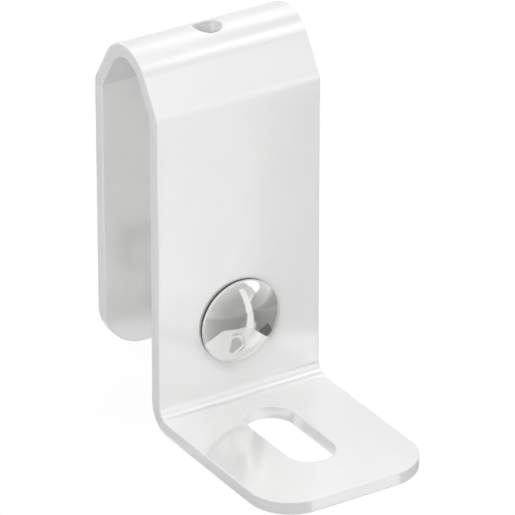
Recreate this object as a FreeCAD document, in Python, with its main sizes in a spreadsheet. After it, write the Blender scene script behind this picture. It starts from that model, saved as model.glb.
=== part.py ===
# Cable tray wall bracket: a steel strip folded into a foot, a wall and a hook, closed by a carriage bolt.
# Origin: centre of the foot's slot, on the underside of the foot. +Z is up and the foot points to -Y.
import FreeCAD, Part
import math
import os

import Sketcher
from FreeCAD import Placement, Rotation, Vector

# Driving dimensions, in millimetres and degrees
DIMENSIONS = {
    # Folded strip
    "strip_width": 40.0,
    "strip_thickness": 3.0,
    "edge_break": 0.3,
    # Foot
    "foot_reach": 46.0,
    "foot_corner": 10.0,
    "foot_bend": 3.0,
    "slot_width": 11.0,
    "slot_length": 26.0,
    "slot_offset": 20.0,
    # Hook
    "overall_height": 85.0,
    "hook_depth": 25.0,
    "gable_angle": 32.0,
    "gable_bend": 0.5,
    "crest_radius": 9.0,
    "crest_hole": 6.0,
    "leg_end_height": 9.0,
    "leg_corner": 10.0,
    # Holes of the bolt
    "bolt_height": 21.0,
    "neck_hole_width": 8.8,
    "neck_hole_corner": 0.5,
    "leg_hole": 9.0,
    # Carriage bolt
    "head_diameter": 19.3,
    "head_height": 4.5,
    "head_rim": 0.8,
    "head_side": 0.45,
    "neck_width": 8.2,
    "neck_corner": 0.8,
    "neck_length": 4.5,
    "shank_diameter": 8.0,
    "bolt_length": 35.0,
    "tip_chamfer": 0.8,
    # Hexagon nut
    "nut_across_flats": 13.0,
    "nut_height": 6.5,
    "nut_bore_chamfer": 0.5,
    "nut_corner_angle": 30.0,
    "nut_corner_clear": 0.2,
}

# Ends of a sketch's lines and arcs, and the sketch's own axes
START = 1
END = 2
CENTRE = 3
H_AXIS = -1
V_AXIS = -2
ORIGIN = (-1, START)

# Slack in finding an edge by its place and direction
NEAR = 0.01


def make_sheet(doc):
    """Writes the driving dimensions to a sheet whose aliases drive every feature."""
    sheet = doc.addObject("Spreadsheet::Sheet", "dims")
    for row, (alias, value) in enumerate(DIMENSIONS.items(), start=1):
        sheet.set(f"A{row}", alias)
        sheet.set(f"B{row}", str(value))
        sheet.setAlias(f"B{row}", alias)
    doc.recompute()


def add_sketch(body, name, role, offset=None):
    """Adds a sketch on one of the body's own planes, moved by offset formulas along the sketch's x, y and z."""
    sketch = body.newObject("Sketcher::SketchObject", name)
    plane = next(item for item in body.Origin.OriginFeatures if item.Role == role)
    sketch.AttachmentSupport = [(plane, "")]
    sketch.MapMode = "FlatFace"
    for axis, formula in (offset or {}).items():
        sketch.setExpression(f"AttachmentOffset.Base.{axis}", formula)
    return sketch


def add_line(sketch, begin, finish):
    """Adds a line and returns its index with the ends where the outline enters and leaves it."""
    index = sketch.addGeometry(Part.LineSegment(Vector(*begin, 0), Vector(*finish, 0)))
    return index, START, END


def add_arc(sketch, centre, radius, begin_angle, finish_angle):
    """Adds an arc, drawn either way round, and returns its index with its entry and exit ends."""
    low, high = sorted((begin_angle, finish_angle))
    circle = Part.Circle(Vector(*centre, 0), Vector(0, 0, 1), radius)
    index = sketch.addGeometry(Part.ArcOfCircle(circle, math.radians(low), math.radians(high)))
    if begin_angle < finish_angle:
        return index, START, END
    return index, END, START


def close_outline(sketch, chain, corners):
    """Joins each piece of a closed outline to the next: sharp after the pieces in corners, else tangent."""
    for here, after in zip(chain, chain[1:] + chain[:1]):
        kind = "Coincident" if here in corners else "Tangent"
        sketch.addConstraint(Sketcher.Constraint(kind, here[0], here[2], after[0], after[1]))


def relate(sketch, kind, *items):
    """Adds a geometric constraint to a sketch."""
    sketch.addConstraint(Sketcher.Constraint(kind, *items))


def drawn_size(sketch, kind, items):
    """Present value of a dimension, read from the drawn geometry."""
    if kind in ("Radius", "Diameter"):
        radius = sketch.Geometry[items[0]].Radius
        return radius if kind == "Radius" else 2 * radius
    if kind in ("Distance", "Angle"):
        line = sketch.Geometry[items[0]]
        run = line.EndPoint - line.StartPoint
        return run.Length if kind == "Distance" else math.atan2(run.y, run.x)
    run = sketch.getPoint(items[2], items[3]) - sketch.getPoint(items[0], items[1])
    return run.x if kind == "DistanceX" else run.y


def drive(sketch, name, formula, kind, *items):
    """Adds a named dimension to a sketch and binds it to the sheet."""
    constraint = Sketcher.Constraint(kind, *items, drawn_size(sketch, kind, items))
    index = sketch.addConstraint(constraint)
    sketch.renameConstraint(index, name)
    sketch.setExpression(f"Constraints.{name}", formula)


def add_circle(sketch, diameter_alias):
    """Adds a circle about the sketch's origin."""
    radius = DIMENSIONS[diameter_alias] / 2
    index = sketch.addGeometry(Part.Circle(Vector(), Vector(0, 0, 1), radius))
    relate(sketch, "Coincident", index, CENTRE, *ORIGIN)
    drive(sketch, "diameter", f"dims.{diameter_alias}", "Diameter", index)


def add_rounded_square(sketch, width_alias, corner_alias):
    """Adds a square with round corners about the sketch's origin."""
    half = DIMENSIONS[width_alias] / 2
    corner = DIMENSIONS[corner_alias]
    flat = half - corner
    right = add_line(sketch, (half, -flat), (half, flat))
    top_right = add_arc(sketch, (flat, flat), corner, 0, 90)
    top = add_line(sketch, (flat, half), (-flat, half))
    top_left = add_arc(sketch, (-flat, flat), corner, 90, 180)
    left = add_line(sketch, (-half, flat), (-half, -flat))
    bottom_left = add_arc(sketch, (-flat, -flat), corner, 180, 270)
    bottom = add_line(sketch, (-flat, -half), (flat, -half))
    bottom_right = add_arc(sketch, (flat, -flat), corner, 270, 360)
    chain = [right, top_right, top, top_left, left, bottom_left, bottom, bottom_right]
    close_outline(sketch, chain, corners=[])
    for side in (left, right):
        relate(sketch, "Vertical", side[0])
    for side in (bottom, top):
        relate(sketch, "Horizontal", side[0])
    for arc in (top_left, bottom_left, bottom_right):
        relate(sketch, "Equal", top_right[0], arc[0])
    half_width = f"dims.{width_alias} / 2"
    drive(sketch, "to_right", half_width, "DistanceX", *ORIGIN, right[0], START)
    drive(sketch, "to_left", half_width, "DistanceX", left[0], START, *ORIGIN)
    drive(sketch, "to_top", half_width, "DistanceY", *ORIGIN, top[0], START)
    drive(sketch, "to_bottom", half_width, "DistanceY", bottom[0], START, *ORIGIN)
    drive(sketch, "corner", f"dims.{corner_alias}", "Radius", top_right[0])


def draw_strip(sketch):
    """Draws the side view of the folded strip, in the row's Y and Z: two parallel faces and two cut ends."""
    d = DIMENSIONS
    thick = d["strip_thickness"]
    lean = math.radians(d["gable_angle"])
    front = d["slot_offset"]
    tip = front - d["foot_reach"]
    back = front + d["hook_depth"]
    bend_in = d["foot_bend"]
    bend_out = bend_in + thick
    bend_centre = (front - bend_in, bend_out)
    crest_out = d["crest_radius"]
    crest_in = crest_out - thick
    crest = ((front + back) / 2, d["overall_height"] - crest_out)
    gable_in = d["gable_bend"]
    gable_out = gable_in + thick
    # Height where the wall's face, drawn on, meets the slope's face, drawn on
    touch = (crest[0] - crest_out * math.cos(lean), crest[1] + crest_out * math.sin(lean))
    fold_height = touch[1] - (touch[0] - front) / math.tan(lean)
    gable_height = fold_height - gable_out * math.tan(lean / 2)
    front_gable = (front + gable_out, gable_height)
    back_gable = (back - gable_out, gable_height)
    front_side = 180 - d["gable_angle"]
    back_side = d["gable_angle"]

    def on_circle(centre, radius, angle):
        """Point of a circle at an angle in degrees."""
        turn = math.radians(angle)
        return centre[0] + radius * math.cos(turn), centre[1] + radius * math.sin(turn)

    # Outer face, from the foot's tip over the crest to the leg's end
    foot_top = add_line(sketch, (tip, thick), (bend_centre[0], thick))
    bend_inner = add_arc(sketch, bend_centre, bend_in, -90, 0)
    wall_front = add_line(sketch, (front, bend_centre[1]), (front, gable_height))
    front_fold = add_arc(sketch, front_gable, gable_out, 180, front_side)
    front_slope = add_line(
        sketch, on_circle(front_gable, gable_out, front_side), on_circle(crest, crest_out, front_side)
    )
    crest_top = add_arc(sketch, crest, crest_out, front_side, back_side)
    back_slope = add_line(
        sketch, on_circle(crest, crest_out, back_side), on_circle(back_gable, gable_out, back_side)
    )
    back_fold = add_arc(sketch, back_gable, gable_out, back_side, 0)
    leg_back = add_line(sketch, (back, gable_height), (back, d["leg_end_height"]))
    leg_end = add_line(sketch, (back, d["leg_end_height"]), (back - thick, d["leg_end_height"]))
    # Inner face, from the leg's end back to the foot's tip
    leg_front = add_line(sketch, (back - thick, d["leg_end_height"]), (back - thick, gable_height))
    back_fold_inner = add_arc(sketch, back_gable, gable_in, 0, back_side)
    back_slope_inner = add_line(
        sketch, on_circle(back_gable, gable_in, back_side), on_circle(crest, crest_in, back_side)
    )
    crest_under = add_arc(sketch, crest, crest_in, back_side, front_side)
    front_slope_inner = add_line(
        sketch, on_circle(crest, crest_in, front_side), on_circle(front_gable, gable_in, front_side)
    )
    front_fold_inner = add_arc(sketch, front_gable, gable_in, front_side, 180)
    wall_back = add_line(sketch, (front + thick, gable_height), (front + thick, bend_centre[1]))
    bend_outer = add_arc(sketch, bend_centre, bend_out, 0, -90)
    foot_under = add_line(sketch, (bend_centre[0], 0), (tip, 0))
    foot_end = add_line(sketch, (tip, 0), (tip, thick))

    outer_face = [
        foot_top, bend_inner, wall_front, front_fold, front_slope, crest_top, back_slope, back_fold, leg_back,
    ]
    inner_face = [
        leg_front, back_fold_inner, back_slope_inner, crest_under, front_slope_inner, front_fold_inner,
        wall_back, bend_outer, foot_under,
    ]
    chain = outer_face + [leg_end] + inner_face + [foot_end]
    close_outline(sketch, chain, corners=[leg_back, leg_end, foot_under, foot_end])

    for line in (foot_top, foot_under, leg_end):
        relate(sketch, "Horizontal", line[0])
    for line in (wall_front, wall_back, leg_front, leg_back, foot_end):
        relate(sketch, "Vertical", line[0])
    folds = ((bend_inner, bend_outer), (front_fold, front_fold_inner), (back_fold, back_fold_inner))
    for outer, inner in folds + ((crest_top, crest_under),):
        relate(sketch, "Coincident", outer[0], CENTRE, inner[0], CENTRE)
    relate(sketch, "Parallel", front_slope[0], front_slope_inner[0])
    relate(sketch, "Equal", front_slope[0], back_slope[0])
    relate(sketch, "Equal", front_fold_inner[0], back_fold_inner[0])
    relate(sketch, "PointOnObject", foot_under[0], END, H_AXIS)

    wall_point = (wall_front[0], START)
    drive(sketch, "foot_thickness", "dims.strip_thickness", "Distance", foot_end[0])
    drive(sketch, "leg_thickness", "dims.strip_thickness", "Distance", leg_end[0])
    drive(sketch, "wall_place", "dims.slot_offset", "DistanceX", *ORIGIN, *wall_point)
    drive(sketch, "foot_reach", "dims.foot_reach", "DistanceX", foot_end[0], START, *wall_point)
    drive(sketch, "hook_depth", "dims.hook_depth", "DistanceX", *wall_point, leg_back[0], END)
    drive(sketch, "crest_place", "dims.hook_depth / 2", "DistanceX", *wall_point, crest_top[0], CENTRE)
    drive(
        sketch, "crest_height", "dims.overall_height - dims.crest_radius",
        "DistanceY", *ORIGIN, crest_top[0], CENTRE,
    )
    drive(sketch, "leg_end_height", "dims.leg_end_height", "DistanceY", *ORIGIN, leg_end[0], START)
    drive(sketch, "foot_bend", "dims.foot_bend", "Radius", bend_inner[0])
    drive(sketch, "gable_bend", "dims.gable_bend", "Radius", front_fold_inner[0])
    drive(sketch, "crest_radius", "dims.crest_radius", "Radius", crest_top[0])
    drive(sketch, "slope_rise", "90 deg - dims.gable_angle * 1 deg", "Angle", front_slope[0])


def draw_slot(sketch):
    """Draws the foot's long hole about the origin, along Y."""
    half_width = DIMENSIONS["slot_width"] / 2
    reach = DIMENSIONS["slot_length"] / 2 - half_width
    right = add_line(sketch, (half_width, -reach), (half_width, reach))
    far_end = add_arc(sketch, (0, reach), half_width, 0, 180)
    left = add_line(sketch, (-half_width, reach), (-half_width, -reach))
    near_end = add_arc(sketch, (0, -reach), half_width, 180, 360)
    close_outline(sketch, [right, far_end, left, near_end], corners=[])
    relate(sketch, "Vertical", right[0])
    relate(sketch, "Vertical", left[0])
    relate(sketch, "Symmetric", far_end[0], CENTRE, near_end[0], CENTRE, *ORIGIN)
    drive(sketch, "end_radius", "dims.slot_width / 2", "Radius", far_end[0])
    drive(
        sketch, "centres", "dims.slot_length - dims.slot_width",
        "DistanceY", near_end[0], CENTRE, far_end[0], CENTRE,
    )


def cut(body, name, sketch, depth=None, upward=False):
    """Cuts a sketch out of the body, to a depth formula or right through."""
    pocket = body.newObject("PartDesign::Pocket", name)
    pocket.Profile = sketch
    pocket.Reversed = upward
    if depth is None:
        pocket.Type = "ThroughAll"
    else:
        pocket.setExpression("Length", depth)
    return pocket


def edges_where(feature, test):
    """Names of the feature's edges whose middle point and direction pass a test."""
    names = []
    for number, edge in enumerate(feature.Shape.Edges, start=1):
        middle = edge.valueAt((edge.FirstParameter + edge.LastParameter) / 2)
        direction = edge.tangentAt((edge.FirstParameter + edge.LastParameter) / 2)
        if test(middle, direction):
            names.append(f"Edge{number}")
    return names


def round_edges(body, name, base, radius, edge_names):
    """Rounds edges of the body's last feature."""
    fillet = body.newObject("PartDesign::Fillet", name)
    fillet.Base = (base, edge_names)
    fillet.setExpression("Radius", radius)
    return fillet


def bevel_edges(body, name, base, size, edge_names):
    """Bevels edges of the body's last feature."""
    bevel = body.newObject("PartDesign::Chamfer", name)
    bevel.Base = (base, edge_names)
    bevel.setExpression("Size", size)
    return bevel


def make_bracket(doc):
    """Folded strip with its holes, round corners and broken edges."""
    body = doc.addObject("PartDesign::Body", "folded_bracket")
    outline = add_sketch(body, "strip_outline", "YZ_Plane")
    draw_strip(outline)
    strip = body.newObject("PartDesign::Pad", "folded_strip")
    strip.Profile = outline
    strip.SideType = "Symmetric"
    strip.setExpression("Length", "dims.strip_width")
    doc.recompute()

    half_width = DIMENSIONS["strip_width"] / 2
    tip = DIMENSIONS["slot_offset"] - DIMENSIONS["foot_reach"]

    def at_foot_corner(middle, direction):
        """Upright edges at the foot's tip."""
        return abs(direction.z) > 1 - NEAR and abs(middle.y - tip) < NEAR

    def at_leg_corner(middle, direction):
        """Edges through the strip at the leg's lower end."""
        at_end = abs(middle.z - DIMENSIONS["leg_end_height"]) < NEAR
        return abs(direction.y) > 1 - NEAR and at_end and abs(abs(middle.x) - half_width) < NEAR

    foot = round_edges(body, "foot_corners", strip, "dims.foot_corner", edges_where(strip, at_foot_corner))
    doc.recompute()
    leg = round_edges(body, "leg_corners", foot, "dims.leg_corner", edges_where(foot, at_leg_corner))
    doc.recompute()

    def along_foot_tip(middle, direction):
        """The two edges across the foot's tip, from which the bevel runs on round the strip."""
        return abs(direction.x) > 1 - NEAR and abs(middle.y - tip) < NEAR

    bevel_edges(body, "broken_edges", leg, "dims.edge_break", edges_where(leg, along_foot_tip))
    doc.recompute()

    slot = add_sketch(body, "slot_outline", "XY_Plane")
    draw_slot(slot)
    cut(body, "foot_slot", slot, "dims.strip_thickness", upward=True)

    crest_place = {"y": "dims.slot_offset + dims.hook_depth / 2"}
    crest = add_sketch(body, "crest_circle", "XY_Plane", crest_place)
    add_circle(crest, "crest_hole")
    cut(body, "crest_bore", crest, upward=True)

    wall_place = {"y": "dims.bolt_height", "z": "-dims.slot_offset"}
    neck = add_sketch(body, "neck_square", "XZ_Plane", wall_place)
    add_rounded_square(neck, "neck_hole_width", "neck_hole_corner")
    cut(body, "neck_opening", neck, "dims.strip_thickness")

    leg_place = {
        "y": "dims.bolt_height",
        "z": "-(dims.slot_offset + dims.hook_depth - dims.strip_thickness)",
    }
    leg_circle = add_sketch(body, "leg_circle", "XZ_Plane", leg_place)
    add_circle(leg_circle, "leg_hole")
    cut(body, "leg_bore", leg_circle, "dims.strip_thickness")
    return body


def lay_along_bolt(body, y_formula):
    """Turns a body made upright so that its axis points to +Y at the bolt's height."""
    body.Placement = Placement(Vector(), Rotation(Vector(1, 0, 0), -90))
    body.setExpression("Placement.Base.y", y_formula)
    body.setExpression("Placement.Base.z", "dims.bolt_height")


def draw_bolt(sketch):
    """Draws half the bolt's section about its axis: domed head below the seat at zero, shank above."""
    d = DIMENSIONS
    head = d["head_diameter"] / 2
    shank = d["shank_diameter"] / 2
    rim = d["head_rim"]
    side_height = d["head_side"]
    length = d["bolt_length"]
    chamfer = d["tip_chamfer"]
    # The dome is a sphere that runs from the head's crown into the rounded rim
    drop = d["head_height"] - side_height
    dome = ((head - rim) ** 2 + drop**2 - rim**2) / (2 * (drop - rim))
    dome_centre = (0, dome - d["head_height"])
    meet = math.degrees(math.atan2(-side_height - dome_centre[1], head - rim))

    crown = add_arc(sketch, dome_centre, dome, -90, meet)
    round_rim = add_arc(sketch, (head - rim, -side_height), rim, meet, 0)
    head_side = add_line(sketch, (head, -side_height), (head, 0))
    seat = add_line(sketch, (head, 0), (shank, 0))
    side = add_line(sketch, (shank, 0), (shank, length - chamfer))
    bevel = add_line(sketch, (shank, length - chamfer), (shank - chamfer, length))
    tip = add_line(sketch, (shank - chamfer, length), (0, length))
    axis = add_line(sketch, (0, length), (0, -d["head_height"]))
    chain = [crown, round_rim, head_side, seat, side, bevel, tip, axis]
    close_outline(sketch, chain, corners=[head_side, seat, side, bevel, tip, axis])

    relate(sketch, "Horizontal", seat[0])
    relate(sketch, "Horizontal", tip[0])
    relate(sketch, "Vertical", head_side[0])
    relate(sketch, "Vertical", side[0])
    relate(sketch, "Vertical", axis[0])
    relate(sketch, "PointOnObject", axis[0], START, V_AXIS)
    relate(sketch, "PointOnObject", seat[0], START, H_AXIS)
    relate(sketch, "PointOnObject", crown[0], CENTRE, V_AXIS)
    drive(sketch, "head_radius", "dims.head_diameter / 2", "DistanceX", *ORIGIN, head_side[0], END)
    drive(sketch, "head_height", "dims.head_height", "DistanceY", crown[0], START, *ORIGIN)
    drive(sketch, "rim", "dims.head_rim", "Radius", round_rim[0])
    drive(sketch, "head_side", "dims.head_side", "Distance", head_side[0])
    drive(sketch, "shank_radius", "dims.shank_diameter / 2", "DistanceX", *ORIGIN, side[0], END)
    drive(sketch, "length", "dims.bolt_length", "DistanceY", *ORIGIN, tip[0], START)
    drive(sketch, "bevel_width", "dims.tip_chamfer", "DistanceX", bevel[0], END, bevel[0], START)
    drive(sketch, "bevel_height", "dims.tip_chamfer", "DistanceY", bevel[0], START, bevel[0], END)


def make_bolt(doc):
    """Carriage bolt: a mushroom head on the wall's face, a square neck in the wall and a round shank."""
    body = doc.addObject("PartDesign::Body", "carriage_bolt")
    section = add_sketch(body, "bolt_section", "XZ_Plane")
    draw_bolt(section)
    turned = body.newObject("PartDesign::Revolution", "turned_bolt")
    turned.Profile = section
    turned.ReferenceAxis = (section, ["V_Axis"])
    square = add_sketch(body, "neck_section", "XY_Plane")
    add_rounded_square(square, "neck_width", "neck_corner")
    neck = body.newObject("PartDesign::Pad", "square_neck")
    neck.Profile = square
    neck.setExpression("Length", "dims.neck_length")
    lay_along_bolt(body, "dims.slot_offset")
    return body


def draw_hexagon(sketch, flats_alias):
    """Draws a regular hexagon about the origin with two sides along the sketch's x."""
    sides = 6
    corner_radius = DIMENSIONS[flats_alias] / math.sqrt(3)
    points = []
    for number in range(sides):
        turn = 2 * math.pi * number / sides
        points.append((corner_radius * math.cos(turn), corner_radius * math.sin(turn)))
    chain = [add_line(sketch, points[n], points[(n + 1) % sides]) for n in range(sides)]
    close_outline(sketch, chain, corners=chain)
    ring = sketch.addGeometry(Part.Circle(Vector(), Vector(0, 0, 1), corner_radius), True)
    relate(sketch, "Coincident", ring, CENTRE, *ORIGIN)
    for line in chain:
        relate(sketch, "PointOnObject", line[0], START, ring)
    for line in chain[1:]:
        relate(sketch, "Equal", chain[0][0], line[0])
    top = chain[1]
    bottom = chain[1 + sides // 2]
    relate(sketch, "Horizontal", top[0])
    drive(sketch, "across_flats", f"dims.{flats_alias}", "DistanceY", bottom[0], START, top[0], START)


def draw_corner_cuts(sketch):
    """Draws the two triangles that, turned about the axis, take the nut's corners off at both faces."""
    d = DIMENSIONS
    inner = d["nut_across_flats"] / 2 - d["nut_corner_clear"]
    outer = d["nut_across_flats"] / math.sqrt(3) + d["nut_corner_clear"]
    fall = (outer - inner) * math.tan(math.radians(d["nut_corner_angle"]))
    slope = "tan(dims.nut_corner_angle * 1 deg)"
    inner_formula = "dims.nut_across_flats / 2 - dims.nut_corner_clear"
    outer_formula = "dims.nut_across_flats / sqrt(3) + dims.nut_corner_clear"
    faces = (("seat", 0.0, fall), ("outer", d["nut_height"], d["nut_height"] - fall))
    for name, face, low in faces:
        flat = add_line(sketch, (inner, face), (outer, face))
        side = add_line(sketch, (outer, face), (outer, low))
        slant = add_line(sketch, (outer, low), (inner, face))
        close_outline(sketch, [flat, side, slant], corners=[flat, side, slant])
        relate(sketch, "Horizontal", flat[0])
        relate(sketch, "Vertical", side[0])
        drive(sketch, f"{name}_inner", inner_formula, "DistanceX", *ORIGIN, flat[0], START)
        drive(sketch, f"{name}_outer", outer_formula, "DistanceX", *ORIGIN, flat[0], END)
        drop = f"({outer_formula} - ({inner_formula})) * {slope}"
        if name == "seat":
            relate(sketch, "PointOnObject", flat[0], START, H_AXIS)
            drive(sketch, "seat_drop", drop, "DistanceY", side[0], START, side[0], END)
        else:
            drive(sketch, "outer_face", "dims.nut_height", "DistanceY", *ORIGIN, flat[0], START)
            drive(sketch, "outer_drop", drop, "DistanceY", side[0], END, side[0], START)


def make_nut(doc):
    """Hexagon nut on the bolt's end, seated on the back leg."""
    body = doc.addObject("PartDesign::Body", "hex_nut")
    hexagon = add_sketch(body, "nut_hexagon", "XY_Plane")
    draw_hexagon(hexagon, "nut_across_flats")
    prism = body.newObject("PartDesign::Pad", "nut_prism")
    prism.Profile = hexagon
    prism.setExpression("Length", "dims.nut_height")
    corners = add_sketch(body, "corner_section", "XZ_Plane")
    draw_corner_cuts(corners)
    groove = body.newObject("PartDesign::Groove", "corner_cut")
    groove.Profile = corners
    groove.ReferenceAxis = (corners, ["V_Axis"])
    bore = add_sketch(body, "bore_circle", "XY_Plane")
    add_circle(bore, "shank_diameter")
    drilled = cut(body, "thread_bore", bore, upward=True)
    doc.recompute()

    def on_bore(middle, direction):
        """Round edges of the bore."""
        reach = math.hypot(middle.x, middle.y)
        return abs(direction.z) < NEAR and abs(reach - DIMENSIONS["shank_diameter"] / 2) < NEAR

    bevel_edges(body, "bore_bevels", drilled, "dims.nut_bore_chamfer", edges_where(drilled, on_bore))
    lay_along_bolt(body, "dims.slot_offset + dims.hook_depth")
    return body


def check_document(doc, bodies):
    """Stops the build where a feature failed, a cut took nothing away or a sub-part isn't one sound solid."""
    for item in doc.Objects:
        if {"Invalid", "Error"} & set(item.State):
            raise RuntimeError(f"{item.Label} failed: {item.State}")
        if item.TypeId in ("PartDesign::Pocket", "PartDesign::Groove"):
            if item.Shape.Volume >= item.BaseFeature.Shape.Volume:
                raise RuntimeError(f"{item.Label} cuts nothing")
    for body in bodies:
        if body.Shape.isNull() or not body.Shape.isValid() or len(body.Shape.Solids) != 1:
            raise RuntimeError(f"{body.Label} isn't one sound solid")


def main():
    """Builds the three pieces and writes each to its own file."""
    doc = FreeCAD.newDocument("wall_bracket")
    make_sheet(doc)
    bodies = [make_bracket(doc), make_bolt(doc), make_nut(doc)]
    doc.recompute()
    check_document(doc, bodies)
    os.makedirs("parts", exist_ok=True)
    for body in bodies:
        body.Shape.exportStep(f"parts/{body.Label}.step")


main()
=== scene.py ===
"""Cable tray wall bracket, dressed: a coated folded strip, a bright carriage bolt and its nut."""
import logging
import math
from collections.abc import Callable, Iterable
from dataclasses import dataclass, field
from enum import Enum
from functools import partial
from itertools import pairwise
from typing import Any

import bmesh
import bpy
from bmesh.types import BMEdge, BMesh, BMFace, BMVert
from mathutils import Matrix, Vector


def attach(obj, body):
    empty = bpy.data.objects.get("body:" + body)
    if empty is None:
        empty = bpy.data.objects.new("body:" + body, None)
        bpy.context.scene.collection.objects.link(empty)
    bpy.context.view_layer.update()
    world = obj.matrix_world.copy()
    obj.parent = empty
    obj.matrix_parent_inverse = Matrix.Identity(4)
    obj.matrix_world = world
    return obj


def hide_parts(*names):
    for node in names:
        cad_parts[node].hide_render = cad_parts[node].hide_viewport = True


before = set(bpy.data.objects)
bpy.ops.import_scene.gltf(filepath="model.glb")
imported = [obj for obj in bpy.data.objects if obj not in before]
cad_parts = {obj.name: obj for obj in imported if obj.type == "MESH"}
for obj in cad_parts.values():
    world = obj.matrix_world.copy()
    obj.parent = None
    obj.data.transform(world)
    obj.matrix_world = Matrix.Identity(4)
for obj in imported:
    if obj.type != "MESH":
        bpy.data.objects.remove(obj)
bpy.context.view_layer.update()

LOG = logging.getLogger("wall_bracket")
MM = 0.001
BODY = "root"
# Points closer than MERGE are one point, and NEAR is the slack of the other tests of place.
MERGE = 1e-6
NEAR = 1e-5
# Cosine above which two directions count as parallel.
PARALLEL = 0.99
# Middle value of a noise texture.
NOISE_MEAN = 0.5
# Breadth of the soft edge of a band on a finish.
BAND_EDGE = 0.1 * MM
ACROSS = Vector((1, 0, 0))
ALONG_BOLT = Vector((0, 1, 0))
UPWARD = Vector((0, 0, 1))
# Way back from a card to the wall, along the rays that the wall mirrors into the camera.
WALL_RAY = Vector((-0.470, 0.752, 0.462))

Colour = tuple[float, float, float, float]


def grey(level: float) -> Colour:
    """Grey of one level."""
    return (level, level, level, 1)


class Ray(Enum):
    """Kinds of light path that the floor and the room answer to."""

    CAMERA = "Is Camera Ray"
    GLOSSY = "Is Glossy Ray"
    TRANSMISSION = "Is Transmission Ray"


class Coordinates(Enum):
    """Coordinates that a finish, a card or the room reads."""

    PIECE = "Object"
    MAP = "UV"
    DIRECTION = "Generated"


class Slot(Enum):
    """Material slots of the record."""

    COAT = "white_coat"
    ZINC = "bright_zinc"


class Fade(Enum):
    """Ways in which a card's glow goes over to its far level."""

    NONE = "none"
    ACROSS = "across"
    ROUND = "round"
    ASIDE = "aside"
    VEIL = "veil"


class Value:
    """A shader socket that takes part in Python arithmetic."""

    def __init__(self, sheet: "NodeSheet", socket: bpy.types.NodeSocket) -> None:
        """Keeps the socket and the sheet that new nodes go to."""
        self.sheet = sheet
        self.socket = socket

    def _math(self, operation: str, *operands: "Value | float") -> "Value":
        """Adds a Math node.

        Args:
            operation: The node's operation.
            operands: Its operands in order.

        Returns:
            The node's result.
        """
        node = self.sheet.node("ShaderNodeMath", {"operation": operation}, dict(enumerate(operands)))
        return Value(self.sheet, node.outputs[0])

    def __add__(self, other: "Value | float") -> "Value":
        """Sum."""
        return self._math("ADD", self, other)

    def __radd__(self, other: float) -> "Value":
        """Sum with a number on the left."""
        return self._math("ADD", other, self)

    def __sub__(self, other: "Value | float") -> "Value":
        """Difference."""
        return self._math("SUBTRACT", self, other)

    def __rsub__(self, other: float) -> "Value":
        """Difference from a number."""
        return self._math("SUBTRACT", other, self)

    def __mul__(self, other: "Value | float") -> "Value":
        """Product."""
        return self._math("MULTIPLY", self, other)

    def __rmul__(self, other: float) -> "Value":
        """Product with a number on the left."""
        return self._math("MULTIPLY", other, self)

    def __truediv__(self, other: "Value | float") -> "Value":
        """Quotient."""
        return self._math("DIVIDE", self, other)

    def __rtruediv__(self, other: float) -> "Value":
        """Quotient of a number and this value."""
        return self._math("DIVIDE", other, self)

    def __pow__(self, other: "Value | float") -> "Value":
        """Power."""
        return self._math("POWER", self, other)

    def __rpow__(self, other: float) -> "Value":
        """Power of a number."""
        return self._math("POWER", other, self)

    def higher(self, other: "Value | float") -> "Value":
        """Larger of two values."""
        return self._math("MAXIMUM", self, other)

    def step(self, low: float, high: float) -> "Value":
        """Smooth step.

        Args:
            low: Value that gives 0.
            high: Value that gives 1.

        Returns:
            A value that goes from 0 to 1 between them.
        """
        node = self.sheet.node(
            "ShaderNodeMapRange",
            {"interpolation_type": "SMOOTHSTEP"},
            {"Value": self, "From Min": low, "From Max": high},
        )
        return Value(self.sheet, node.outputs[0])

    def band(self, start: float, end: float, edge: float = BAND_EDGE) -> "Value":
        """One between two values and zero elsewhere, with soft edges.

        Args:
            start: Value from which it is one.
            end: Value from which it is zero again.
            edge: Breadth of the soft edge before the start.

        Returns:
            The band.
        """
        return self.step(start - edge, start) * (1 - self.step(end - BAND_EDGE, end))


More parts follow.
